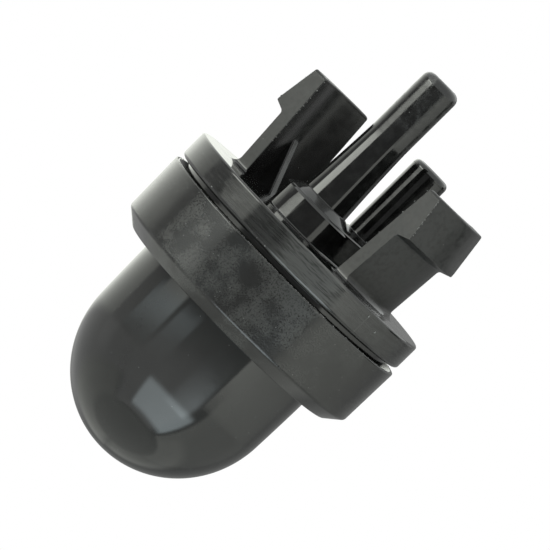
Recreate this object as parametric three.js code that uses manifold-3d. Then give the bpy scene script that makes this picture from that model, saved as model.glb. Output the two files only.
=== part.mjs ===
// Snap-in primer bulb for a small engine's fuel line.
// Sizes are in millimetres. The dome points along +Z, the clips and hose stems along -Z.
// The origin is the centre of the flat face that seats against the panel.

import * as THREE from 'three';
import { mergeVertices } from 'three/addons/utils/BufferGeometryUtils.js';
import Module from 'manifold-3d';

const wasm = await Module();
wasm.setup();

// Rubber dome, and the flange that the collar clamps
const domeDiameter = 18.52;
const domeDraft = 0.13;
const domeStraightHeight = 5.79;
const domeWall = 1.2;
const flangeWidth = 2.32;
const flangeThickness = 1.3;

// Collar pressed over the base's neck
const pressClearance = 0.3;
const collarWall = 0.85;
const collarWallHeight = 5.51;
const collarDraft = 0.11;
const collarEndWall = 1.2;
const chamferWidth = 1.35;
const chamferHeight = 1.13;
const mouthLeadIn = 0.5;

// Seating disc, and the open line between it and the collar
const collarOverhang = 0.16;
const discThickness = 2.5;
const discEdgeRadius = 0.25;
const seamGap = 0.51;

// Panel hole, and the two clips that snap into it
const panelHoleDiameter = 19;
const clipRootClearance = 0.47;
const ledgeClearance = 0.1;
const panelGrip = 5.75;
const clipLength = 10.3;
const clipWidth = 8.36;
const clipRootWall = 1.2;
const clipInnerLean = 0.76;
const clipRootFillet = 0.7;
const clipCornerRadius = 0.3;
const catchDepth = 1.04;
const catchSlope = 0.4;
const catchLand = 0.45;
const catchInset = 0.62;
const ledgeFillet = 0.35;
const gussetThickness = 0.9;
const gussetReach = 1.92;
const gussetHeight = 4.9;

// Boss and hose stems
const stemDiameter = 3.66;
const stemBore = 1.5;
const longStemPlace = 2.42;
const longStemLength = 17;
const longStemTipRadius = 0.75;
const longStemFlare = 0.4;
const longStemFlareStart = 10.6;
const flareBend = 0.4;
const shortStemPlace = -5.64;
const shortStemLength = 11.1;
const shortStemTipRadius = 0.5;
const bossWidth = 6.8;
const bossHeight = 2.6;
const bossEdgeRadius = 0.2;
const longPedestalHeight = 0.58;
const shortPedestalHeight = 0.28;
const pedestalMargin = 0.15;
const pedestalSpread = 0.8;

// Check valve, and the passages under it
const seatDepth = 2;
const grooveMargin = 0.15;
const grooveDepth = 1;
const seatLand = 0.7;
const valveRoom = 0.5;
const pocketMargin = 0.08;
const pocketFloor = 0.5;
const skirtThickness = 0.7;
const skirtRimThickness = 0.4;
const hubHoleDiameter = 3.4;
const hubHeight = 1.6;
const duckbillLength = 1.9;
const duckbillWidth = 4.8;
const duckbillLip = 0.4;
const duckbillSlit = 0.3;

// How finely round shapes are cut, and how far joined shapes run into each other
const roundSteps = 72;
const stemSteps = 28;
const edgeSteps = 3;
const domeSteps = 12;
const flareSteps = 5;
const overlap = 0.25;

// Places worked out from the sizes above
const domeRadius = domeDiameter / 2;
const domeTopRadius = domeRadius - domeDraft;
const flangeRadius = domeRadius + flangeWidth;
const collarBoreRadius = flangeRadius + pressClearance;
const collarRadius = collarBoreRadius + collarWall;
const neckRadius = collarBoreRadius - pressClearance;
const discRadius = collarRadius - collarOverhang;
const collarMouthZ = discThickness + seamGap;
const chamferZ = collarMouthZ + collarWallHeight;
const collarTopZ = chamferZ + chamferHeight;
const flangeTopZ = collarTopZ - collarEndWall;
const neckTopZ = flangeTopZ - flangeThickness;
const domeCentreZ = collarTopZ + domeStraightHeight;
const seatZ = neckTopZ - seatDepth;
const stemRadius = stemDiameter / 2;
const boreRadius = stemBore / 2;
const bossRadius = bossWidth / 2;
const grooveInnerRadius = Math.abs(shortStemPlace) - boreRadius - grooveMargin;
const grooveOuterRadius = Math.abs(shortStemPlace) + boreRadius + grooveMargin;
const skirtRadius = grooveOuterRadius + seatLand;
const recessRadius = skirtRadius + valveRoom;
const pocketRadius = Math.abs(longStemPlace) + boreRadius + pocketMargin;
const panelHoleRadius = panelHoleDiameter / 2;
const clipRootRadius = panelHoleRadius - clipRootClearance;
const clipInnerRadius = clipRootRadius - clipRootWall;

// Points [radius, z] along an arc
function arc(centreR, centreZ, radius, fromDegrees, toDegrees, steps) {
  const points = [];
  for (let i = 0; i <= steps; i++) {
    const angle = THREE.MathUtils.degToRad(fromDegrees + (toDegrees - fromDegrees) * i / steps);
    points.push([centreR + radius * Math.cos(angle), centreZ + radius * Math.sin(angle)]);
  }
  return points;
}

// Turns a profile of [radius, z] points about Z. It runs up the outside and down the inside,
// and it starts and ends on the axis or closes on itself.
function revolve(profile, steps) {
  const points = profile.map(([radius, z]) => new THREE.Vector2(radius, z));
  return new THREE.LatheGeometry(points, steps).rotateX(Math.PI / 2);
}

// A closed geometry as a solid that can be joined and cut
function solidOf(geometry) {
  geometry.deleteAttribute('normal');
  geometry.deleteAttribute('uv');
  const welded = mergeVertices(geometry);
  const corners = welded.index.array;
  const faces = [];
  for (let i = 0; i < corners.length; i += 3) {
    const [a, b, c] = [corners[i], corners[i + 1], corners[i + 2]];
    if (a !== b && b !== c && c !== a) faces.push(a, b, c);
  }
  return new wasm.Manifold(new wasm.Mesh({
    numProp: 3,
    vertProperties: welded.attributes.position.array,
    triVerts: new Uint32Array(faces),
  }));
}

function geometryOf(solid) {
  const { vertProperties, triVerts } = solid.getMesh();
  const geometry = new THREE.BufferGeometry();
  geometry.setAttribute('position', new THREE.BufferAttribute(vertProperties, 3));
  geometry.setIndex(new THREE.BufferAttribute(triVerts, 1));
  geometry.computeVertexNormals();
  return geometry;
}

function makeBulb() {
  const innerRadius = domeRadius - domeWall;
  return solidOf(revolve([
    ...arc(0, domeCentreZ, domeTopRadius - domeWall, 90, 0, domeSteps),
    [innerRadius, neckTopZ],
    [flangeRadius, neckTopZ],
    [flangeRadius, flangeTopZ],
    [domeRadius, flangeTopZ],
    [domeRadius, collarTopZ],
    ...arc(0, domeCentreZ, domeTopRadius, 0, 90, domeSteps),
  ], roundSteps));
}

function makeCollar() {
  const holeRadius = domeRadius + pressClearance;
  const topRadius = collarRadius - collarDraft;
  const profile = [
    [collarBoreRadius + mouthLeadIn, collarMouthZ],
    [collarRadius, collarMouthZ],
    [topRadius, chamferZ],
    [topRadius - chamferWidth, collarTopZ],
    [holeRadius, collarTopZ],
    [holeRadius, flangeTopZ],
    [collarBoreRadius, flangeTopZ],
    [collarBoreRadius, collarMouthZ + mouthLeadIn],
  ];
  return solidOf(revolve([...profile, profile[0]], roundSteps));
}

// Disc and neck, with the valve's recess, its ring groove and its pocket
function makeDisc() {
  const edge = discRadius - discEdgeRadius;
  return solidOf(revolve([
    [0, 0],
    ...arc(edge, discEdgeRadius, discEdgeRadius, -90, 0, edgeSteps),
    ...arc(edge, discThickness - discEdgeRadius, discEdgeRadius, 0, 90, edgeSteps),
    [neckRadius, discThickness],
    [neckRadius, neckTopZ],
    [recessRadius, neckTopZ],
    [recessRadius, seatZ],
    [grooveOuterRadius, seatZ],
    [grooveOuterRadius, seatZ - grooveDepth],
    [grooveInnerRadius, seatZ - grooveDepth],
    [grooveInnerRadius, seatZ],
    [pocketRadius, seatZ],
    [pocketRadius, pocketFloor],
    [0, pocketFloor],
  ], roundSteps));
}

// Height below the seat at which the clip's inner face has this radius
function clipInnerAt(height) {
  return clipInnerRadius + clipInnerLean * height / clipLength;
}

// Both clips are one turned ring, cut down to two tongues that lean outwards
function makeClips() {
  const catchRadius = panelHoleRadius + catchDepth;
  const catchZ = -panelGrip - catchSlope;
  const legRadius = panelHoleRadius - ledgeClearance;
  const slope = THREE.MathUtils.radToDeg(Math.atan2(catchSlope, catchRadius - legRadius));
  const filletHeight = ledgeFillet * Math.tan(THREE.MathUtils.degToRad((90 - slope) / 2));
  const profile = [
    [clipInnerAt(clipLength), -clipLength],
    [catchRadius - catchInset, -clipLength],
    [catchRadius, catchZ - catchLand],
    [catchRadius, catchZ],
    ...arc(legRadius + ledgeFillet, filletHeight - panelGrip, ledgeFillet, 270 - slope, 180, edgeSteps),
    ...arc(clipRootRadius + clipRootFillet, -clipRootFillet, clipRootFillet, 180, 90, edgeSteps),
    [clipRootRadius + clipRootFillet, overlap],
    [clipInnerRadius, overlap],
    [clipInnerRadius, 0],
  ];
  const ring = solidOf(revolve([...profile, profile[0]], roundSteps));
  return ring.intersect(makeClipSlab(catchRadius));
}

// A slab as wide as a clip, with the clip's rounded top corners
function makeClipSlab(catchRadius) {
  const halfWidth = clipWidth / 2;
  const halfLength = catchRadius + overlap;
  const outline = new THREE.Shape();
  outline.moveTo(-halfWidth, 2 * overlap);
  outline.lineTo(-halfWidth, clipCornerRadius - clipLength);
  outline.absarc(clipCornerRadius - halfWidth, clipCornerRadius - clipLength, clipCornerRadius,
    Math.PI, 1.5 * Math.PI, false);
  outline.absarc(halfWidth - clipCornerRadius, clipCornerRadius - clipLength, clipCornerRadius,
    1.5 * Math.PI, 2 * Math.PI, false);
  outline.lineTo(halfWidth, 2 * overlap);
  const slab = new THREE.ExtrudeGeometry(outline,
    { depth: 2 * halfLength, bevelEnabled: false, curveSegments: edgeSteps });
  slab.translate(0, 0, -halfLength);
  slab.rotateX(Math.PI / 2);
  slab.rotateZ(Math.PI / 2);
  return solidOf(slab);
}

// The web that stiffens one clip's root, on the side given by its sign
function makeGusset(side) {
  const wallRadius = (clipInnerRadius + clipRootRadius) / 2;
  const outline = new THREE.Shape();
  outline.moveTo(clipInnerRadius - gussetReach, overlap);
  outline.lineTo(clipInnerRadius - gussetReach, 0);
  outline.lineTo(clipInnerAt(gussetHeight), -gussetHeight);
  outline.lineTo(wallRadius, -gussetHeight);
  outline.lineTo(wallRadius, overlap);
  const web = new THREE.ExtrudeGeometry(outline, { depth: gussetThickness, bevelEnabled: false });
  web.translate(0, 0, -gussetThickness / 2);
  web.rotateX(Math.PI / 2);
  if (side < 0) web.rotateZ(Math.PI);
  return solidOf(web);
}

// Long boss whose round ends are centred on the two stems
function makeBoss() {
  const radius = bossRadius - bossEdgeRadius;
  const outline = new THREE.Shape();
  outline.absarc(0, longStemPlace, radius, 0, Math.PI, false);
  outline.absarc(0, shortStemPlace, radius, Math.PI, 2 * Math.PI, false);
  const boss = new THREE.ExtrudeGeometry(outline, {
    depth: bossHeight + overlap - 2 * bossEdgeRadius,
    curveSegments: stemSteps / 2,
    bevelThickness: bossEdgeRadius,
    bevelSize: bossEdgeRadius,
    bevelSegments: edgeSteps,
  });
  boss.translate(0, 0, bossEdgeRadius - bossHeight);
  return solidOf(boss);
}

// Radius of a stem at a depth below the seat, where flare is its growth from tip to root
function flaredRadius(depth, flare, flareStart, flareEnd) {
  const share = (flareStart - depth) / (flareStart - flareEnd);
  return stemRadius + flare * ((1 - flareBend) * share + flareBend * share * share);
}

// One hose stem on its low cone, pointing down, before its bore is cut
function makeStem(place, length, tipRadius, flare, pedestalHeight) {
  const rootDepth = bossHeight + pedestalHeight;
  const rootRadius = stemRadius + flare;
  const coneRadius = rootRadius + pedestalMargin;
  const side = [];
  for (let i = 0; i <= flareSteps; i++) {
    const depth = longStemFlareStart + (rootDepth - longStemFlareStart) * i / flareSteps;
    side.push([flaredRadius(depth, flare, longStemFlareStart, rootDepth), -depth]);
  }
  const flaredSide = flare > 0 ? side : [[stemRadius, -rootDepth]];
  const stem = revolve([
    [0, -length],
    ...arc(stemRadius - tipRadius, tipRadius - length, tipRadius, -90, 0, edgeSteps),
    ...flaredSide,
    [coneRadius, -rootDepth],
    [coneRadius + pedestalSpread, -bossHeight],
    [coneRadius + pedestalSpread, overlap - bossHeight],
    [0, overlap - bossHeight],
  ], stemSteps);
  return solidOf(stem.translate(0, place, 0));
}

function makeBore(place, length, top) {
  const bore = new THREE.CylinderGeometry(boreRadius, boreRadius, top + length + overlap, stemSteps);
  bore.rotateX(Math.PI / 2);
  return solidOf(bore.translate(0, place, (top - length - overlap) / 2));
}

function makeBase() {
  return makeDisc()
    .add(makeBoss())
    .add(makeClips())
    .add(makeGusset(1))
    .add(makeGusset(-1))
    .add(makeStem(longStemPlace, longStemLength, longStemTipRadius, longStemFlare, longPedestalHeight))
    .add(makeStem(shortStemPlace, shortStemLength, shortStemTipRadius, 0, shortPedestalHeight))
    .subtract(makeBore(longStemPlace, longStemLength, pocketFloor + overlap))
    .subtract(makeBore(shortStemPlace, shortStemLength, seatZ - grooveDepth + overlap));
}

// Turns a profile of [x radius, y radius, z] points about Z, so that a round piece can flatten into lips
function revolveOval(profile, steps) {
  const positions = [];
  const faces = [];
  const rows = profile.length;
  for (let i = 0; i < steps; i++) {
    const angle = 2 * Math.PI * i / steps;
    for (const [xRadius, yRadius, z] of profile) {
      positions.push(xRadius * Math.cos(angle), yRadius * Math.sin(angle), z);
    }
    for (let j = 0; j < rows; j++) {
      const here = i * rows;
      const next = ((i + 1) % steps) * rows;
      const above = (j + 1) % rows;
      faces.push(here + j, next + j, next + above, here + j, next + above, here + above);
    }
  }
  const geometry = new THREE.BufferGeometry();
  geometry.setAttribute('position', new THREE.Float32BufferAttribute(positions, 3));
  geometry.setIndex(faces);
  return geometry;
}

// Flat skirt over the ring groove, and a duckbill that hangs in the pocket
function makeValve() {
  const stemOuter = pocketRadius - pressClearance;
  const hole = hubHoleDiameter / 2;
  const lipZ = seatZ - hubHeight - duckbillLength;
  const halfWidth = duckbillWidth / 2;
  return solidOf(revolveOval([
    [hole, hole, seatZ - hubHeight],
    [halfWidth - duckbillLip, duckbillSlit / 2, lipZ],
    [halfWidth, duckbillSlit / 2 + duckbillLip, lipZ],
    [stemOuter, stemOuter, seatZ - hubHeight],
    [stemOuter, stemOuter, seatZ],
    [skirtRadius, skirtRadius, seatZ],
    [skirtRadius, skirtRadius, seatZ + skirtRimThickness],
    [hole, hole, seatZ + skirtThickness],
  ], roundSteps));
}

function blackPlastic() {
  return new THREE.MeshStandardMaterial({ color: 0x1c1d1f, roughness: 0.35, metalness: 0 });
}

function blackRubber() {
  return new THREE.MeshStandardMaterial({ color: 0x202224, roughness: 0.5, metalness: 0 });
}

function valveRubber() {
  return new THREE.MeshStandardMaterial({ color: 0x26282a, roughness: 0.6, metalness: 0 });
}

function makePiece(name, solid, material) {
  const piece = new THREE.Mesh(geometryOf(solid), material);
  piece.name = name;
  return piece;
}

function makePrimerBulb() {
  const group = new THREE.Group();
  group.add(makePiece('bulb', makeBulb(), blackRubber()));
  group.add(makePiece('retaining_collar', makeCollar(), blackPlastic()));
  group.add(makePiece('base', makeBase(), blackPlastic()));
  group.add(makePiece('check_valve', makeValve(), valveRubber()));
  return group;
}

export default makePrimerBulb();
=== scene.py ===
"""Looks for a snap-in primer bulb: rounded mouldings, mould flash, black finishes, light and camera.

Shapes are drawn in millimetres in the part's own frame, then made metres once each piece is whole.
"""

import math

import bmesh
import bpy
from mathutils import Matrix, Vector


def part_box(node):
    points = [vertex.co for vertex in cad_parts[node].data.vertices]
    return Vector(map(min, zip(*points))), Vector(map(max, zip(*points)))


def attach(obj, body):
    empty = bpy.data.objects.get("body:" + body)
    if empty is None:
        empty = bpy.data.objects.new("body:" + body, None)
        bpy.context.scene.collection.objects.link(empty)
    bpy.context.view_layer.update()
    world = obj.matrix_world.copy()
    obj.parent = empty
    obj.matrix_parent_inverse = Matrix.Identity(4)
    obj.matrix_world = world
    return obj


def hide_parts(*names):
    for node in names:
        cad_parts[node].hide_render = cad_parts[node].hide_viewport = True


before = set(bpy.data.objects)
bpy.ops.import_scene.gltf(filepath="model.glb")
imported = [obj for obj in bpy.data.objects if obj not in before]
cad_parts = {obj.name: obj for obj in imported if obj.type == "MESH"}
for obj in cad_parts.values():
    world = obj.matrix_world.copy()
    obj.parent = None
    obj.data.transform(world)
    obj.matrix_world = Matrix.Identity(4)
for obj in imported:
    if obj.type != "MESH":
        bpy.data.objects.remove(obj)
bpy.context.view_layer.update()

MM = 0.001

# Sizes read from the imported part, in millimetres
bulb_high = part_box("bulb")[1] / MM
collar_low, collar_high = (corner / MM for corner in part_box("retaining_collar"))
base_low, base_high = (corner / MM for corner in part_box("base"))

disc_radius = base_high.x
neck_radius = bulb_high.x
neck_top = base_high.z
collar_radius = collar_high.x
collar_mouth = collar_low.z
collar_top = collar_high.z
dome_tip = bulb_high.z

# Rubber dome
dome_radius = 9.26
dome_draft = 0.13
dome_wall = 1.2
flange_thickness = 1.3
dome_cap = dome_radius - dome_draft
dome_spring = dome_tip - dome_cap
flange_top = neck_top + flange_thickness

# Collar
press_clearance = 0.3
collar_draft = 0.11
chamfer_width = 1.35
chamfer_height = 1.13
collar_bore = neck_radius + press_clearance
dome_clearance = 0.05
collar_hole = dome_radius + dome_clearance
mouth_lead_in = 0.5
collar_shoulder = collar_top - chamfer_height

# Disc with its recess, groove and pocket for the valve
disc_thickness = 2.5
seat_depth = 2
seat_height = neck_top - seat_depth
groove_inner = 4.74
groove_outer = 6.54
groove_depth = 1
recess_radius = 7.74
pocket_radius = 3.25
pocket_floor = 0.5

# Boss and hose stems
stem_radius = 1.83
bore_radius = 0.75
boss_radius = 3.4
boss_height = 2.6
pedestal_margin = 0.15
pedestal_spread = 0.8
long_stem = {"place": 2.42, "length": -base_low.z, "tip": 0.75, "flare": 0.4, "pedestal": 0.58}
short_stem = {"place": -5.64, "length": 11.1, "tip": 0.5, "flare": 0.0, "pedestal": 0.28}
flare_start = 10.6
flare_bend = 0.4
flare_stop = 0.3

# Snap clips
clip_half_width = 4.18
clip_length = 10.3
clip_root = 9.03
clip_catch = 9.4
clip_lip = 10.54
clip_top = 9.92
catch_height = 5.75
lip_height = 6.15
lip_land = 6.6
clip_inner_root = 7.83
clip_inner_top = 8.59
clip_fillet = 0.7
ledge_fillet = 0.35
clip_corner = 0.05
gusset_half = 0.45
gusset_reach = 1.92
gusset_height = 4.9
gusset_lean = 0.42
clip_root_fillet = 0.3

# Mould flash: how far its beads sit in from the edges, and the stretches that it runs along
mouth_bead_inset = 0.16
mouth_bead_rise = 0.04
mouth_dense_side = (8, 60)
clip_bead_inset = 0.02
lip_bead_inset = 0.06
outer_flash = (lip_land, 10.15)
inner_flash = (3.5, 9.9)

# Where the finishes change over, each as the start and the end of a fade
disc_rim_radius = (12.3, 12.45)
disc_rim_height = (-0.05, 0.02)
clip_back_radius = (8.85, 9.0)
clip_side_y = (4.12, 4.17)
clip_side_x = (6.2, 6.4)
clip_inside_x = (5.6, 6.0)
under_disc = (-0.1, -0.5)

# Fineness of the meshes
TURN_STEPS = 180
STEM_STEPS = 72
ARC_STEPS = 5
RIM_STEPS = 6
WALL_STEPS = 12
CAP_STEPS = 48
DOME_INSIDE_STEPS = 24
BOSS_END_STEPS = 36
BEAD_FINENESS = 2
SUPPORT = 0.03
MERGE = 0.0001
SINK = 0.3


def rounded(corners, closed=True, steps=ARC_STEPS):
    """An outline through corners (x, y, radius), each rounded by an arc with a support point either side."""
    points = []
    count = len(corners)
    for i, (x, y, radius) in enumerate(corners):
        here = Vector((x, y))
        if radius <= 0 or (not closed and i in (0, count - 1)):
            points.append(here)
            continue
        back = (Vector(corners[i - 1][:2]) - here).normalized()
        ahead = (Vector(corners[(i + 1) % count][:2]) - here).normalized()
        half = back.angle(ahead) / 2
        reach = radius / math.tan(half)
        centre = here + (back + ahead).normalized() * radius / math.sin(half)
        start = here + back * reach - centre
        turn = start.angle_signed(here + ahead * reach - centre)
        points.append(here + back * (reach + SUPPORT))
        for k in range(steps + 1):
            points.append(centre + Matrix.Rotation(-turn * k / steps, 2) @ start)
        points.append(here + ahead * (reach + SUPPORT))
    return points


def arc(centre, radius, start, end, steps):
    """Points on an arc about (x, y), from one angle to another in degrees."""
    angles = [math.radians(start + (end - start) * k / steps) for k in range(steps + 1)]
    return [Vector((centre[0] + radius * math.cos(a), centre[1] + radius * math.sin(a))) for a in angles]


def link(name, data):
    """A new object in the scene."""
    thing = bpy.data.objects.new(name, data)
    bpy.context.scene.collection.objects.link(thing)
    return thing


def evaluated(thing, name):
    """The object's mesh with its modifiers made real, and the object removed."""
    graph = bpy.context.evaluated_depsgraph_get()
    mesh = bpy.data.meshes.new_from_object(thing.evaluated_get(graph), depsgraph=graph)
    mesh.name = name
    bpy.data.objects.remove(thing)
    return mesh


class Wiring:
    """Short ways to add and join nodes in one tree."""

    def __init__(self, tree):
        self.tree = tree

    def node(self, kind, values=None, **settings):
        made = self.tree.nodes.new(kind)
        for key, value in settings.items():
            setattr(made, key, value)
        for key, value in (values or {}).items():
            if isinstance(value, bpy.types.NodeSocket):
                self.tree.links.new(value, made.inputs[key])
            else:
                made.inputs[key].default_value = value
        return made

    def math(self, operation, first, second=0.0, clamp=False):
        made = self.node("ShaderNodeMath", {0: first, 1: second}, operation=operation, use_clamp=clamp)
        return made.outputs[0]

    def vector(self, operation, first, second=(0, 0, 0)):
        made = self.node("ShaderNodeVectorMath", {0: first, 1: second}, operation=operation)
        return made.outputs["Value" if operation == "DOT_PRODUCT" else "Vector"]

    def span(self, value, low, high, smooth=True):
        """0 below low, 1 above high, and a ramp between them."""
        made = self.node("ShaderNodeMapRange", {"Value": value, "From Min": low, "From Max": high},
                         interpolation_type="SMOOTHSTEP" if smooth else "LINEAR")
        return made.outputs["Result"]

    def within(self, value, low, high, blur):
        """1 between low and high, with ramps as wide as the blur either side of both ends."""
        rise = self.span(value, low - blur, low + blur)
        return self.math("SUBTRACT", rise, self.span(value, high - blur, high + blur))

    def noise(self, place, scale, detail=2.0, contrast=0.0):
        """Even random levels from 0 to 1, pushed apart where a contrast is given."""
        made = self.node("ShaderNodeTexNoise", {"Vector": place, "Scale": scale, "Detail": detail})
        if contrast:
            return self.span(made.outputs[0], 0.5 - contrast, 0.5 + contrast)
        return made.outputs[0]

    def specks(self, place, spacing, size, share):
        """Small round dots: their spacing and size in millimetres, and the share of cells with a dot."""
        cells = self.node("ShaderNodeTexVoronoi", {"Vector": place, "Scale": 1 / spacing})
        dot = self.span(self.math("MULTIPLY", cells.outputs["Distance"], spacing), size, 0.6 * size)
        pick = self.node("ShaderNodeSeparateColor", {0: cells.outputs["Color"]})
        return self.math("MULTIPLY", dot, self.math("LESS_THAN", pick.outputs[0], share))

    def blend(self, share, first, second):
        made = self.node("ShaderNodeMix", {0: share, 6: first, 7: second}, data_type="RGBA")
        return made.outputs[2]


def new_form(name, inputs):
    """A geometry tree with named inputs, its wiring, and the node that its inputs come from."""
    tree = bpy.data.node_groups.new(name, "GeometryNodeTree")
    tree.interface.new_socket("Geometry", in_out="INPUT", socket_type="NodeSocketGeometry")
    for label, kind in inputs:
        tree.interface.new_socket(label, in_out="INPUT", socket_type=kind)
    tree.interface.new_socket("Geometry", in_out="OUTPUT", socket_type="NodeSocketGeometry")
    wire = Wiring(tree)
    return wire, wire.node("NodeGroupInput")


def finish_form(wire, geometry, finish):
    """The tree's last nodes: real geometry, smooth faces and the finish."""
    real = wire.node("GeometryNodeRealizeInstances", {"Geometry": geometry})
    smooth = wire.node("GeometryNodeSetShadeSmooth", {"Geometry": real.outputs[0]})
    painted = wire.node("GeometryNodeSetMaterial", {"Geometry": smooth.outputs[0], "Material": finish})
    wire.node("NodeGroupOutput", {0: painted.outputs[0]})


def apply_form(thing, tree, values, name):
    """Runs a geometry tree on an object, with its inputs set by their identifiers, and returns the mesh."""
    modifier = thing.modifiers.new(tree.name, "NODES")
    modifier.node_group = tree
    for item in tree.interface.items_tree:
        if item.in_out == "INPUT" and item.name in values:
            modifier[item.identifier] = values[item.name]
    return evaluated(thing, name)


def turned_form():
    """Turns a chain of points, each (radius, 0, height), about the Z axis into a closed body."""
    wire, source = new_form("turned_form", [
        ("Steps", "NodeSocketInt"), ("Place", "NodeSocketVector"), ("Finish", "NodeSocketMaterial")])
    size = wire.node("GeometryNodeAttributeDomainSize", {"Geometry": source.outputs["Geometry"]})
    across = wire.math("ADD", source.outputs["Steps"], 1)
    grid = wire.node("GeometryNodeMeshGrid", {
        "Size X": 1.0, "Size Y": 1.0, "Vertices X": across, "Vertices Y": size.outputs["Point Count"]})
    place = wire.node("ShaderNodeSeparateXYZ", {0: wire.node("GeometryNodeInputPosition").outputs[0]})
    angle = wire.math("MULTIPLY", wire.math("ADD", place.outputs["X"], 0.5), 2 * math.pi)
    last = wire.math("SUBTRACT", size.outputs["Point Count"], 1)
    row = wire.math("MULTIPLY", wire.math("ADD", place.outputs["Y"], 0.5), last)
    index = wire.node("FunctionNodeFloatToInt", {0: row}, rounding_mode="ROUND")
    point = wire.node("GeometryNodeSampleIndex", {
        "Geometry": source.outputs["Geometry"],
        "Value": wire.node("GeometryNodeInputPosition").outputs[0],
        "Index": index.outputs[0]}, data_type="FLOAT_VECTOR", domain="POINT")
    profile = wire.node("ShaderNodeSeparateXYZ", {0: point.outputs["Value"]})
    turned = wire.node("ShaderNodeCombineXYZ", {
        "X": wire.math("MULTIPLY", profile.outputs["X"], wire.math("COSINE", angle)),
        "Y": wire.math("MULTIPLY", profile.outputs["X"], wire.math("SINE", angle)),
        "Z": profile.outputs["Z"]})
    moved = wire.vector("ADD", turned.outputs[0], source.outputs["Place"])
    body = wire.node("GeometryNodeSetPosition", {"Geometry": grid.outputs["Mesh"], "Position": moved})
    closed = wire.node("GeometryNodeMergeByDistance", {"Geometry": body.outputs[0], "Distance": MERGE})
    finish_form(wire, closed.outputs[0], source.outputs["Finish"])
    return wire.tree


TURNED = turned_form()


def turned(name, profile, steps=TURN_STEPS, y=0.0, finish=None):
    """A body turned from a profile that runs up its outside, as a mesh in millimetres."""
    chain = bpy.data.meshes.new(name)
    chain.from_pydata([(max(p[0], 0.0), 0.0, p[1]) for p in profile],
                      [(k, k + 1) for k in range(len(profile) - 1)], [])
    values = {"Steps": steps, "Place": (0.0, y, 0.0)}
    if finish:
        values["Finish"] = finish
    return outward(apply_form(link(name, chain), TURNED, values, name))


def beads_form():
    """Small uneven beads at the points of a path."""
    wire, source = new_form("flash_beads", [
        ("Size", "NodeSocketFloat"), ("Stray", "NodeSocketFloat"), ("Kept", "NodeSocketFloat"),
        ("Seed", "NodeSocketInt"), ("Finish", "NodeSocketMaterial")])
    size, stray, kept, seed = (source.outputs[label] for label in ("Size", "Stray", "Kept", "Seed"))
    back = wire.vector("MULTIPLY", stray, (-1, -1, -1))
    shift = wire.node("FunctionNodeRandomValue", {"Min": back, "Max": stray, "Seed": seed},
                      data_type="FLOAT_VECTOR")
    moved = wire.node("GeometryNodeSetPosition", {
        "Geometry": source.outputs["Geometry"], "Offset": shift.outputs[0]})
    keep = wire.node("FunctionNodeRandomValue", {"Probability": kept, "Seed": seed}, data_type="BOOLEAN")
    small = wire.vector("MULTIPLY", size, (0.4, 0.4, 0.4))
    scale = wire.node("FunctionNodeRandomValue", {"Min": small, "Max": size, "Seed": seed},
                      data_type="FLOAT_VECTOR")
    bead = wire.node("GeometryNodeMeshIcoSphere", {"Radius": 1.0, "Subdivisions": BEAD_FINENESS})
    placed = wire.node("GeometryNodeInstanceOnPoints", {
        "Points": moved.outputs[0], "Selection": keep.outputs[3],
        "Instance": bead.outputs[0], "Scale": scale.outputs[0]})
    finish_form(wire, placed.outputs[0], source.outputs["Finish"])
    return wire.tree


BEADS = beads_form()


def beaded(name, points, size, stray, kept, seed, finish):
    """A row of beads along points, as a mesh in millimetres."""
    path = bpy.data.meshes.new(name)
    path.from_pydata(points, [], [])
    values = {"Size": size, "Stray": stray, "Kept": kept, "Seed": seed, "Finish": finish}
    return apply_form(link(name, path), BEADS, values, name)


def outward(mesh):
    """The mesh with its doubles merged and all faces pointing out."""
    work = bmesh.new()
    work.from_mesh(mesh)
    bmesh.ops.remove_doubles(work, verts=work.verts, dist=MERGE)
    bmesh.ops.recalc_face_normals(work, faces=work.faces)
    work.to_mesh(mesh)
    work.free()
    return mesh


def lofted(name, levels):
    """A closed body through levels, each (height, outline), whose outlines all have as many points."""
    work = bmesh.new()
    rings = [[work.verts.new((p[0], p[1], height)) for p in outline] for height, outline in levels]
    count = len(rings[0])
    for low, high in zip(rings, rings[1:]):
        for k in range(count):
            after = (k + 1) % count
            work.faces.new((low[k], low[after], high[after], high[k]))
    work.faces.new(rings[0])
    work.faces.new(rings[-1])
    for face in work.faces:
        face.smooth = True
    mesh = bpy.data.meshes.new(name)
    work.to_mesh(mesh)
    work.free()
    return outward(mesh)


def combined(name, body, others, operation="UNION"):
    """The body with other meshes joined to it or cut from it."""
    thing = link(name, body)
    tools = [link(f"{name}_tool", mesh) for mesh in others]
    for tool in tools:
        modifier = thing.modifiers.new("combine", "BOOLEAN")
        modifier.operation = operation
        modifier.solver = "EXACT"
        modifier.object = tool
    mesh = evaluated(thing, name)
    for tool in tools:
        bpy.data.objects.remove(tool)
    return mesh


def evened(name, mesh, sharp=35):
    """Smooth faces, with edges sharper than an angle kept and flats kept flat."""
    thing = link(name, mesh)
    mesh.shade_smooth()
    mesh.set_sharp_from_angle(angle=math.radians(sharp))
    modifier = thing.modifiers.new("flats", "WEIGHTED_NORMAL")
    modifier.mode = "FACE_AREA"
    modifier.keep_sharp = True
    return evaluated(thing, name)


def finished(name, mesh, material, slot, *nodes):
    """A mesh in millimetres as a piece of the part, in metres, with its finish."""
    mesh.transform(Matrix.Scale(MM, 4))
    mesh.materials.clear()
    mesh.materials.append(material)
    thing = link(name, mesh)
    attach(thing, "root")
    if nodes:
        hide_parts(*nodes)
    return thing


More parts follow.
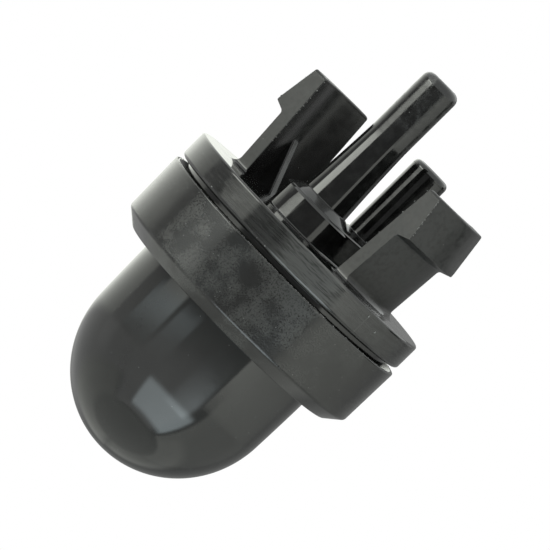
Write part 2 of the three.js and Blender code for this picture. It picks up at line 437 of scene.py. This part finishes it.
def dome_outside():
    """The dome's wall, bulging a little, and the cap that it runs into without an edge."""
    rise = dome_spring - collar_top
    bend = 1.5
    shares = [k / WALL_STEPS for k in range(WALL_STEPS + 1)]
    wall = [Vector((dome_radius - dome_draft * share ** bend, collar_top + rise * share)) for share in shares]
    lean = math.atan(dome_draft * bend / rise)
    height = dome_cap / (1 - math.tan(lean))
    start = math.asin(math.tan(lean))
    across = dome_cap / math.cos(start)
    angles = [start + (math.pi / 2 - start) * k / CAP_STEPS for k in range(1, CAP_STEPS + 1)]
    return wall + [Vector((across * math.cos(a), dome_tip - height * (1 - math.sin(a)))) for a in angles]


def dome_profile():
    """Up the outside of the dome from its bore, with the flange under the collar."""
    inner = dome_radius - dome_wall
    return [
        *arc((0, dome_spring), dome_cap - dome_wall, 90, 0, DOME_INSIDE_STEPS),
        Vector((inner, neck_top)),
        *rounded([
            (inner, neck_top, 0), (neck_radius, neck_top, 0.15), (neck_radius, flange_top, 0.15),
            (dome_radius, flange_top, 0.1), (dome_radius, collar_top, 0)], closed=False)[1:-1],
        *dome_outside(),
    ]


def collar_profile():
    """The collar's section, closed on itself."""
    shoulder = collar_radius - collar_draft
    outline = rounded([
        (collar_bore + mouth_lead_in, collar_mouth, 0.06),
        (collar_radius, collar_mouth, 0.12),
        (shoulder, collar_shoulder, 0.35),
        (shoulder - chamfer_width, collar_top, 0.25),
        (collar_hole, collar_top, 0.15),
        (collar_hole, flange_top, 0.05),
        (collar_bore, flange_top, 0.1),
        (collar_bore, collar_mouth + mouth_lead_in, 0.1),
    ])
    return outline + [outline[0]]


def disc_profile():
    """Disc and neck, with the valve's seat, groove and pocket."""
    return rounded([
        (0, 0, 0), (disc_radius, 0, 0.22), (disc_radius, disc_thickness, 0.3),
        (neck_radius, disc_thickness, 0.1), (neck_radius, neck_top, 0.15),
        (recess_radius, neck_top, 0.1), (recess_radius, seat_height, 0.1),
        (groove_outer, seat_height, 0.05), (groove_outer, seat_height - groove_depth, 0.05),
        (groove_inner, seat_height - groove_depth, 0.05), (groove_inner, seat_height, 0.05),
        (pocket_radius, seat_height, 0.1), (pocket_radius, pocket_floor, 0.1), (0, pocket_floor, 0),
    ], closed=False)


def flared(depth, flare, end):
    """A stem's radius at a depth below the seat, where its flare runs from the start to the end depth."""
    share = (flare_start - depth) / (flare_start - end)
    return stem_radius + flare * ((1 - flare_bend) * share + flare_bend * share * share)


def stem_profile(stem):
    """One hose stem on its low cone, pointing down."""
    root = boss_height + stem["pedestal"]
    top = stem_radius + stem["flare"]
    cone = top + pedestal_margin
    side = [(stem_radius, -flare_start, 0)]
    if stem["flare"]:
        depths = [flare_start + (root + flare_stop - flare_start) * k / 10 for k in range(11)]
        side = [(flared(d, stem["flare"], root), -d, 0) for d in depths]
    return rounded([
        (0, -stem["length"], 0), (stem_radius, -stem["length"], stem["tip"]), *side,
        (top, -root, 0.08), (cone, -root, 0.06), (cone + pedestal_spread, -boss_height, 0.35),
        (cone + pedestal_spread + SINK, SINK - boss_height, 0), (0, SINK - boss_height, 0),
    ], closed=False)


def bore_profile(stem, top):
    """The hole through a stem, a little wider at its mouth."""
    mouth = 0.12
    tip = -stem["length"]
    return [Vector(p) for p in (
        (0, tip - SINK), (bore_radius + mouth + SINK, tip - SINK), (bore_radius, tip + mouth),
        (bore_radius, top), (0, top))]


def stadium(radius):
    """The boss's outline, round about each stem."""
    return [*arc((0, long_stem["place"]), radius, 0, 180, BOSS_END_STEPS),
            *arc((0, short_stem["place"]), radius, 180, 360, BOSS_END_STEPS)]


def boss_levels():
    """The boss from inside the disc to its rounded lower edge, with a small draft and root fillet."""
    edge = 0.2
    draft = 0.06
    fillet = 0.15
    foot = boss_radius - draft
    angles = [math.pi / 2 * k / ARC_STEPS for k in range(ARC_STEPS + 1)]
    sides = [(SINK, boss_radius + fillet)]
    sides += [(-fillet * (1 - math.cos(a)), boss_radius + fillet * (1 - math.sin(a))) for a in angles]
    sides += [(edge * (1 - math.sin(a)) - boss_height, foot - edge * (1 - math.cos(a))) for a in angles]
    return [(z, stadium(radius)) for z, radius in sides]


def clip_outline(outer, inner, half_width, corner):
    """A clip's section: two arcs about the part's axis and two sides parallel to X, with rounded corners."""
    def edge(radius):
        return math.asin(half_width / radius)
    steps = 20
    corners = []
    for radius, sign in ((outer, 1), (inner, -1)):
        reach = edge(radius)
        for k in range(steps + 1):
            angle = sign * reach * (2 * k / steps - 1)
            rim = corner if k in (0, steps) else 0
            corners.append((radius * math.cos(angle), radius * math.sin(angle), rim))
    return rounded(corners, steps=3)


def clip_levels():
    """The clip on the +X side, from inside the disc down to its rounded top."""
    outside = rounded([
        (clip_root + clip_fillet, SINK, 0), (clip_root + clip_fillet, 0, 0),
        *[(p[0], p[1], 0) for p in arc((clip_root + clip_fillet, -clip_fillet), clip_fillet, 100, 180, 6)],
        (clip_catch, -catch_height, ledge_fillet), (clip_lip, -lip_height, 0.12),
        (clip_lip - 0.04, -lip_land, 0.3), (clip_top, -clip_length, 0)], closed=False, steps=4)
    edge = 0.12
    corner_round = 0.3
    lean = 0.15
    levels = []
    for radius, z in outside:
        depth = max(-z, 0)
        inner = clip_inner_root + (clip_inner_top - clip_inner_root) * depth / clip_length
        root = max(clip_root_fillet - depth, 0)
        spread = clip_root_fillet
        if z < 0:
            spread -= math.sqrt(max(clip_root_fillet ** 2 - root ** 2, 0))
        levels.append((z, radius, inner - spread, clip_half_width + spread))
    end, end_outer, end_inner, end_half = levels.pop()
    for k in range(RIM_STEPS + 1):
        angle = math.pi / 2 * k / RIM_STEPS
        drop = corner_round * (1 - math.sin(angle))
        narrow = corner_round * (1 - math.cos(angle))
        thin = max(0.0, edge - math.sqrt(max(edge ** 2 - max(edge - drop, 0) ** 2, 0)))
        levels.append((end + drop, end_outer - thin + drop * lean, end_inner + thin, end_half - narrow))
    return [(z, clip_outline(outer, inner, half, clip_corner)) for z, outer, inner, half in levels]


def gusset_levels():
    """The web inside the +X clip's root."""
    wall = (clip_inner_root + clip_root) / 2
    levels = []
    for z in (SINK, 0.0, -gusset_height / 2, -gusset_height):
        depth = max(-z, 0)
        share = depth / gusset_height
        tip = clip_inner_root - gusset_reach * (1 - share) + gusset_lean * share
        levels.append((z, rounded([
            (tip, -gusset_half, 0.12), (wall, -gusset_half, 0),
            (wall, gusset_half, 0), (tip, gusset_half, 0.12)], steps=3)))
    return levels


def mouth_edge():
    """Places along the collar's mouth, close together on the side with most flash."""
    radius = collar_radius - mouth_bead_inset
    height = collar_mouth + mouth_bead_rise
    start, end = mouth_dense_side
    close, apart = 0.75, 4.0
    points = []
    degrees = 0.0
    while degrees < 360:
        angle = math.radians(degrees)
        points.append((radius * math.sin(angle), radius * math.cos(angle), height))
        degrees += close if start < degrees < end else apart
    return points


def clip_edge(side, start, end, radii, spacing):
    """Places along one long edge of a clip's +Y face, between two depths, with the edge's radii there."""
    count = int((end - start) / spacing)
    height = clip_half_width - clip_bead_inset
    points = []
    for k in range(count + 1):
        depth = start + (end - start) * k / count
        radius = radii[0] + (radii[1] - radii[0]) * k / count
        points.append((side * math.sqrt(radius ** 2 - clip_half_width ** 2), height, -depth))
    return points


def rim_grit():
    """Places of the few grains stuck to the disc's rim: degrees from +Y towards +X, and height."""
    grains = ((-9.2, 2.2), (24.3, 2.3), (80.0, 1.1), (72.2, 0.5))
    places = [(math.radians(degrees), height) for degrees, height in grains]
    return [(disc_radius * math.sin(a), disc_radius * math.cos(a), height) for a, height in places]


def clip_flash():
    """Places of the flash along both clips' edges."""
    lean = (clip_inner_top - clip_inner_root) / clip_length
    inner = [clip_inner_root + lean * depth for depth in inner_flash]
    outer = (clip_lip - lip_bead_inset, clip_top)
    return [
        *clip_edge(1, *outer_flash, outer, 0.13),
        *clip_edge(-1, *outer_flash, outer, 0.5),
        *clip_edge(-1, *inner_flash, inner, 0.42),
        *clip_edge(1, *inner_flash, inner, 1.1),
    ]


def opposite(mesh, name):
    """A copy turned half a turn about the part's axis."""
    copy = mesh.copy()
    copy.name = name
    copy.transform(Matrix.Rotation(math.pi, 4, "Z"))
    return copy


def base_mesh():
    """The whole base moulding as one closed mesh."""
    clip = lofted("clip", clip_levels())
    gusset = lofted("gusset", gusset_levels())
    body = combined("base_moulding", turned("disc", disc_profile()), [
        lofted("boss", boss_levels()), clip, opposite(clip, "clip_far"),
        gusset, opposite(gusset, "gusset_far")])
    bores = []
    for stem, floor in ((long_stem, pocket_floor), (short_stem, seat_height - groove_depth)):
        outside = turned("stem", stem_profile(stem), STEM_STEPS, stem["place"])
        body = combined("base_moulding", body, [outside])
        bores.append(turned("bore", bore_profile(stem, floor + SINK), STEM_STEPS, stem["place"]))
    return combined("base_moulding", body, bores, "DIFFERENCE")


def new_finish(name):
    """An empty material, its wiring, and places on the piece in millimetres."""
    material = bpy.data.materials.new(name)
    material.use_nodes = True
    material.node_tree.nodes.clear()
    wire = Wiring(material.node_tree)
    metres = wire.node("ShaderNodeTexCoord").outputs["Object"]
    return material, wire, wire.vector("MULTIPLY", metres, (1 / MM, 1 / MM, 1 / MM))


def coat(wire, colour, roughness, height=None, depth=0.0, shine=0.5, glow=0.0):
    """The shader of a moulded surface, with relief up to a depth in millimetres."""
    shader = wire.node("ShaderNodeBsdfPrincipled", {
        "Base Color": colour, "Roughness": roughness, "IOR": 1.5, "Specular IOR Level": shine})
    if glow:
        shader.inputs["Emission Color"].default_value = (1, 1, 1, 1)
        shader.inputs["Emission Strength"].default_value = glow
    if height is not None:
        bump = wire.node("ShaderNodeBump", {"Height": height, "Strength": 1.0, "Distance": depth * MM})
        wire.tree.links.new(bump.outputs[0], shader.inputs["Normal"])
    wire.node("ShaderNodeOutputMaterial", {"Surface": shader.outputs[0]})


def round_axis(wire, place):
    """The distance from the part's axis, the angle round it in degrees from +Y towards +X, and the height."""
    split = wire.node("ShaderNodeSeparateXYZ", {0: place})
    x, y, z = split.outputs
    radius = wire.math("SQRT", wire.math("ADD", wire.math("MULTIPLY", x, x), wire.math("MULTIPLY", y, y)))
    turn = wire.math("MULTIPLY", wire.math("ARCTAN2", x, y), 180 / math.pi)
    return radius, turn, z


def rubber_finish():
    """Satin black rubber with a haze and fine dust."""
    material, wire, place = new_finish("dome_rubber_black")
    haze = wire.noise(place, 0.5, 3.0)
    grain = wire.noise(place, 9.0, 3.0)
    dust = wire.specks(place, 0.7, 0.05, 0.3)
    black = wire.blend(haze, (0.012, 0.0122, 0.0118, 1), (0.0185, 0.0188, 0.018, 1))
    colour = wire.blend(dust, black, (0.09, 0.092, 0.09, 1))
    roughness = wire.math("ADD", 0.055, wire.math("MULTIPLY", haze, 0.05))
    height = wire.math("ADD", grain, wire.math("MULTIPLY", wire.noise(place, 1.2, 1.0), 2.0))
    coat(wire, colour, roughness, height, 0.0007)
    return material


def collar_finish():
    """Glossy black plastic under a patchy film of dust, thickest on one side."""
    material, wire, place = new_finish("collar_plastic_black")
    turn = round_axis(wire, place)[1]
    handled = wire.math("ADD", 0.3, wire.math("MULTIPLY", wire.within(turn, -10, 56.5, 2.5), 0.7))
    film = wire.math("MULTIPLY", handled, wire.noise(place, 0.42, 5.0, 0.13))
    fine = wire.noise(place, 8.0, 5.0, 0.17)
    patchy = wire.math("MULTIPLY", wire.math("ADD", film, 0.15), wire.math("ADD", fine, 0.3), clamp=True)
    dust = wire.specks(place, 0.35, 0.045, 0.14)
    black = wire.blend(patchy, (0.0045, 0.0046, 0.0043, 1), (0.033, 0.0335, 0.0315, 1))
    colour = wire.blend(dust, black, (0.11, 0.112, 0.107, 1))
    roughness = wire.math("ADD", 0.06, wire.math("MULTIPLY", patchy, 0.16))
    relief = wire.math("ADD", wire.noise(place, 1.5, 2.0), fine)
    coat(wire, colour, roughness, relief, 0.0035)
    return material


def clip_faces(wire, place, radius, z):
    """Where the clips' backs and flat sides are, and where their insides are, from 0 to 1."""
    across, along, _ = wire.node("ShaderNodeSeparateXYZ", {0: wire.vector("ABSOLUTE", place)}).outputs
    backs = wire.span(radius, *clip_back_radius)
    sides = wire.math("MULTIPLY", wire.span(along, *clip_side_y), wire.span(across, *clip_side_x))
    clear = wire.span(z, *under_disc)
    outer = wire.math("MULTIPLY", wire.math("MAXIMUM", backs, sides), clear)
    inner = wire.math("MULTIPLY", wire.span(across, *clip_inside_x), clear)
    return outer, wire.math("SUBTRACT", inner, outer, clamp=True)


def on_rim(wire, radius, z):
    """Where the disc's rim is, from 0 to 1."""
    return wire.math("MULTIPLY", wire.span(radius, *disc_rim_radius), wire.span(z, *disc_rim_height))


def rim_wear(wire, turn, z, radius):
    """Fine lines round the disc's rim, strongest in one rubbed stretch."""
    lines_place = wire.node("ShaderNodeCombineXYZ", {
        "X": wire.math("MULTIPLY", turn, 0.16), "Y": wire.math("MULTIPLY", z, 9.0), "Z": radius})
    lines = wire.noise(lines_place.outputs[0], 1.0, 4.0, 0.2)
    lightening = wire.math("ADD", wire.within(turn, 30, 56, 5), 0.22)
    wear = wire.math("MULTIPLY", lightening, wire.math("ADD", lines, 0.3), clamp=True)
    return wire.math("MULTIPLY", on_rim(wire, radius, z), wear)


def mould_seam(wire, turn, z, radius):
    """The thin line across the disc's rim where the mould's halves met."""
    start, end, blur, strength = 72.1, 72.6, 0.12, 0.45
    seam = wire.math("MULTIPLY", wire.within(turn, start, end, blur), strength)
    return wire.math("MULTIPLY", on_rim(wire, radius, z), seam)


def painted_tip_highlight(wire, place):
    """A painted highlight by the long stem's tip: a lighter patch with a ragged edge on the side of its
    rounding.
    """
    centre = (0.05, 4.15, -16.3)
    away = wire.node("ShaderNodeVectorMath", {0: place, 1: centre}, operation="DISTANCE")
    ragged = wire.math("ADD", away.outputs["Value"], wire.math("MULTIPLY", wire.noise(place, 3.0, 4.0), 0.9))
    return wire.span(ragged, 1.0, 0.75)


def base_finish():
    """Glossy black plastic, satin on the clips, with fine lines round the disc's rim and a painted highlight
    by the long stem's tip.
    """
    material, wire, place = new_finish("base_plastic_black")
    radius, turn, z = round_axis(wire, place)
    satin, inside = clip_faces(wire, place, radius, z)
    wear = rim_wear(wire, turn, z, radius)
    # The mould seam is a real line; the patch by the long stem's tip is a painted highlight.
    seam_and_highlight = wire.math("MAXIMUM", painted_tip_highlight(wire, place), mould_seam(wire, turn, z, radius))
    mottle = wire.noise(place, 2.2, 4.0, 0.2)
    grain = wire.noise(place, 12.0, 3.0)
    bloom = wire.noise(place, 1.1, 5.0, 0.12)
    dust = wire.specks(place, 0.6, 0.05, 0.18)
    black = wire.blend(bloom, (0.0036, 0.0037, 0.0035, 1), (0.0085, 0.0086, 0.0083, 1))
    # The clips' inner faces and webs are coloured a little lighter than the rest.
    lighter_inside = wire.blend(wire.math("MULTIPLY", inside, 0.5), black, (0.016, 0.0161, 0.0156, 1))
    dulled = wire.math("MULTIPLY", satin, wire.math("ADD", mottle, 0.35))
    dull = wire.blend(dulled, lighter_inside, (0.0165, 0.0167, 0.016, 1))
    # Lighter grey where the rim is worn, along the mould seam, and as a painted highlight by the long stem's
    # tip.
    lightening = wire.math("MAXIMUM", wear, wire.math("MULTIPLY", seam_and_highlight, 0.9))
    worn_and_highlit = wire.blend(lightening, dull, (0.052, 0.0525, 0.05, 1))
    colour = wire.blend(dust, worn_and_highlit, (0.11, 0.112, 0.108, 1))
    soft = wire.math("ADD", wire.math("MULTIPLY", satin, 0.26), wire.math("MULTIPLY", inside, 0.16))
    handled = wire.math("MULTIPLY", wire.span(z, -10.5, -13), wire.noise(place, 2.5, 5.0, 0.1))
    patches = wire.math("ADD", wire.math("MULTIPLY", bloom, 0.05), wire.math("MULTIPLY", handled, 0.2))
    uneven = wire.math("ADD", wire.math("MULTIPLY", wear, 0.15), patches)
    roughness = wire.math("ADD", 0.06, wire.math("ADD", soft, uneven))
    rough_grain = wire.math("MULTIPLY", grain, wire.math("ADD", satin, 0.12))
    relief = wire.math("ADD", wire.noise(place, 1.6, 3.0), rough_grain)
    shine = wire.math("SUBTRACT", 0.5, wire.math("MULTIPLY", satin, 0.17))
    coat(wire, colour, roughness, relief, 0.003, shine=shine)
    return material


def flash_finish():
    """Light grey torn plastic along the mould lines, also on the rim's grit; on the flash partly a painted
    highlight.
    """
    material, wire, place = new_finish("flash_grit_and_painted_highlight")
    grain = wire.noise(place, 10.0, 3.0)
    # Light grey: the flash's and the grit's own colour, and on the flash partly a painted highlight.
    colour = wire.blend(grain, (0.06, 0.0605, 0.058, 1), (0.2, 0.202, 0.195, 1))
    coat(wire, colour, wire.math("ADD", 0.25, wire.math("MULTIPLY", grain, 0.2)), grain, 0.004)
    return material


def valve_finish():
    """Matt black rubber."""
    material, wire, place = new_finish("valve_rubber_black")
    grain = wire.noise(place, 8.0, 3.0)
    colour = wire.blend(grain, (0.016, 0.0162, 0.0165, 1), (0.026, 0.0262, 0.0265, 1))
    coat(wire, colour, wire.math("ADD", 0.5, wire.math("MULTIPLY", grain, 0.15)), grain, 0.004)
    return material


BASE_PLASTIC = base_finish()
COLLAR_PLASTIC = collar_finish()
DOME_RUBBER = rubber_finish()
VALVE_RUBBER = valve_finish()
FLASH_GRIT_AND_HIGHLIGHT = flash_finish()

finished("rubber_dome", evened("rubber_dome", turned("rubber_dome", dome_profile())),
         DOME_RUBBER, "dome_rubber", "bulb")
finished("collar_ring", evened("collar_ring", turned("collar_ring", collar_profile())),
         COLLAR_PLASTIC, "collar_plastic", "retaining_collar")
finished("base_moulding", evened("base_moulding", base_mesh()), BASE_PLASTIC, "base_plastic", "base")

# The flash beads' light grey is partly a painted highlight along the collar's mouth and the clips' edges.
finished("collar_flash", beaded("collar_flash", mouth_edge(), 0.11, 0.03, 0.75, 4, FLASH_GRIT_AND_HIGHLIGHT),
         FLASH_GRIT_AND_HIGHLIGHT, "collar_plastic")
finished("clip_flash", beaded("clip_flash", clip_flash(), 0.07, 0.03, 0.65, 9, FLASH_GRIT_AND_HIGHLIGHT),
         FLASH_GRIT_AND_HIGHLIGHT, "base_plastic")
finished("rim_grit", beaded("rim_grit", rim_grit(), 0.1, 0.0, 1.0, 2, FLASH_GRIT_AND_HIGHLIGHT),
         FLASH_GRIT_AND_HIGHLIGHT, "base_plastic")

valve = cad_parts["check_valve"]
valve.data.materials.clear()
valve.data.materials.append(VALVE_RUBBER)

# Camera: the photograph looks across the axis from the stems' side, with the stems pointing up to the right
VIEW_TURN = math.radians(34.5)
VIEW_DISTANCE = 337.0
VIEW_HEIGHT = -18.5
AIM_HEIGHT = 4.19
STEMS_TILT = math.radians(44.6)
HALF_FRAME = 22.85
SENSOR_WIDTH = 36

FLOOR_RADIUS = 150
FLOOR_HEIGHT = -60

# Limits for panels that run past straight down, past straight up and all the way round
BELOW = -100
ABOVE = 100
ALL_ROUND = (-190, 190)


def make_camera():
    """The photograph's camera, turned about its line of sight until the stems point as they do there."""
    toward = Vector((math.sin(VIEW_TURN), math.cos(VIEW_TURN), 0))
    place = toward * VIEW_DISTANCE + Vector((0, 0, VIEW_HEIGHT))
    aim = Vector((0, 0, AIM_HEIGHT))
    back = (place - aim).normalized()
    stems = Vector((0, 0, -1))
    stems = (stems - back * stems.dot(back)).normalized()
    side = stems.cross(back)
    right = stems * math.cos(STEMS_TILT) + side * math.sin(STEMS_TILT)
    up = stems * math.sin(STEMS_TILT) - side * math.cos(STEMS_TILT)
    data = bpy.data.cameras.new("camera")
    data.sensor_width = SENSOR_WIDTH
    data.lens = SENSOR_WIDTH / 2 * (place - aim).length / HALF_FRAME
    data.clip_start = 0.01
    data.clip_end = 10
    camera = link("camera", data)
    camera.matrix_world = Matrix((
        (right.x, up.x, back.x, place.x * MM),
        (right.y, up.y, back.y, place.y * MM),
        (right.z, up.z, back.z, place.z * MM),
        (0, 0, 0, 1)))
    bpy.context.scene.camera = camera


def make_floor():
    """A plain pale round light table, below the part and outside the photograph's view."""
    work = bmesh.new()
    bmesh.ops.create_circle(work, cap_ends=True, segments=96, radius=FLOOR_RADIUS * MM)
    bmesh.ops.translate(work, verts=work.verts, vec=(0, 0, FLOOR_HEIGHT * MM))
    mesh = bpy.data.meshes.new("floor")
    work.to_mesh(mesh)
    work.free()
    material, wire, place = new_finish("pale_floor")
    colour = wire.blend(wire.noise(place, 0.05), (0.78, 0.78, 0.77, 1), (0.82, 0.82, 0.81, 1))
    coat(wire, colour, 0.6, glow=0.55)
    mesh.materials.append(material)
    link("floor", mesh)


def panel(wire, aim, sides, levels, brightness, blur, tint=(1, 1, 1)):
    """Light from one panel round the part, between two angles and two heights in degrees.

    The angles run from the camera towards the photograph's right.
    The brightness runs from the panel's left side to its right.
    """
    turn, height = aim
    shape = wire.math("MULTIPLY", wire.within(turn, *sides, blur[0]), wire.within(height, *levels, blur[1]))
    across = wire.span(turn, *sides, smooth=False)
    level = wire.math("ADD", wire.math("MULTIPLY", across, brightness[1] - brightness[0]), brightness[0])
    return wire.vector("MULTIPLY", wire.math("MULTIPLY", shape, level), tint)


def studio_light(wire, aim):
    """All the light round the part but for what the camera sees behind it."""
    pale_green = (0.97, 1, 0.92)
    pale_blue = (0.86, 1, 1.04)
    lights = [
        # Softbox on the left, brightest low down, and the wall behind it
        panel(wire, aim, (-84, -49), (BELOW, 0), (7.4, 7.0), (2, 3), pale_green),
        panel(wire, aim, (-78, -47.5), (-1, 6.4), (0.9, 1.7), (3, 0.4), pale_green),
        panel(wire, aim, (-84, -47.5), (6.4, 8.1), (1.0, 1.7), (2, 0.4), pale_blue),
        panel(wire, aim, (-180, -104), (BELOW, 9), (1.1, 0.75), (3, 4), pale_green),
        panel(wire, aim, (-160, -118), (BELOW, 6), (0.8, 0.4), (12, 5), pale_green),
        panel(wire, aim, (-104, -84), (BELOW, 30), (0.15, 0.15), (3, 8)),
        panel(wire, aim, (-166, -46), (9, 38), (0.35, 0.45), (10, 4)),
        # Above, brighter towards the back
        panel(wire, aim, (-180, -50), (38, 62), (0.6, 0.45), (8, 5), pale_green),
        panel(wire, aim, (70, 180), (42, 62), (0.25, 0.5), (8, 5), pale_green),
        panel(wire, aim, ALL_ROUND, (62, ABOVE), (0.36, 0.36), (2, 7), pale_green),
        # Behind the camera: a dark foot, then paler upwards, with a bright strip and a window over it
        panel(wire, aim, (-42, -19), (6.7, 8.1), (1.4, 1.1), (2, 0.3), pale_blue),
        panel(wire, aim, (-46, 43), (8.4, 62), (0.5, 0.5), (9, 0.3)),
        panel(wire, aim, (12, 43), (8.8, 30), (0.3, 1.7), (4, 0.8), pale_blue),
        panel(wire, aim, (-17, 53), (23, 56), (2.3, 3.1), (3, 4), pale_blue),
        # Wall on the right, with a dark flag in front of it
        panel(wire, aim, (36.5, 103), (BELOW, 1.5), (1.7, 0.75), (1.2, 1.5), pale_green),
        panel(wire, aim, (46.5, 134), (1.5, 9), (1.75, 0), (1, 1.5), pale_green),
        panel(wire, aim, (104, 121), (BELOW, 1.5), (-0.26, -0.26), (2, 1)),
        panel(wire, aim, (123, 155), (BELOW, -2), (0.3, 0.2), (2, 1)),
        panel(wire, aim, (58, 134), (9, 60), (0.85, 0.1), (3, 1.5), pale_green),
    ]
    total = (0.27, 0.275, 0.27)
    for light in lights:
        total = wire.vector("ADD", light, total)
    return total


def make_world():
    """Plain white for the camera, and the studio's light for everything else."""
    world = bpy.data.worlds.new("studio")
    bpy.context.scene.world = world
    bpy.context.scene.view_settings.view_transform = "Standard"
    world.use_nodes = True
    world.node_tree.nodes.clear()
    wire = Wiring(world.node_tree)
    toward = (math.sin(VIEW_TURN), math.cos(VIEW_TURN), 0)
    right = (math.cos(VIEW_TURN), -math.sin(VIEW_TURN), 0)
    direction = wire.vector("NORMALIZE", wire.node("ShaderNodeTexCoord").outputs["Generated"])
    turn = wire.math("ARCTAN2", wire.vector("DOT_PRODUCT", direction, right),
                     wire.vector("DOT_PRODUCT", direction, toward))
    rise = wire.math("ARCSINE", wire.vector("DOT_PRODUCT", direction, (0, 0, 1)))
    aim = [wire.math("MULTIPLY", angle, 180 / math.pi) for angle in (turn, rise)]
    backdrop = wire.node("ShaderNodeLightPath").outputs["Is Camera Ray"]
    seen = wire.blend(backdrop, studio_light(wire, aim), (1, 1, 1, 1))
    background = wire.node("ShaderNodeBackground", {"Color": seen, "Strength": 1.0})
    wire.node("ShaderNodeOutputWorld", {"Surface": background.outputs[0]})


make_camera()
make_floor()
make_world()
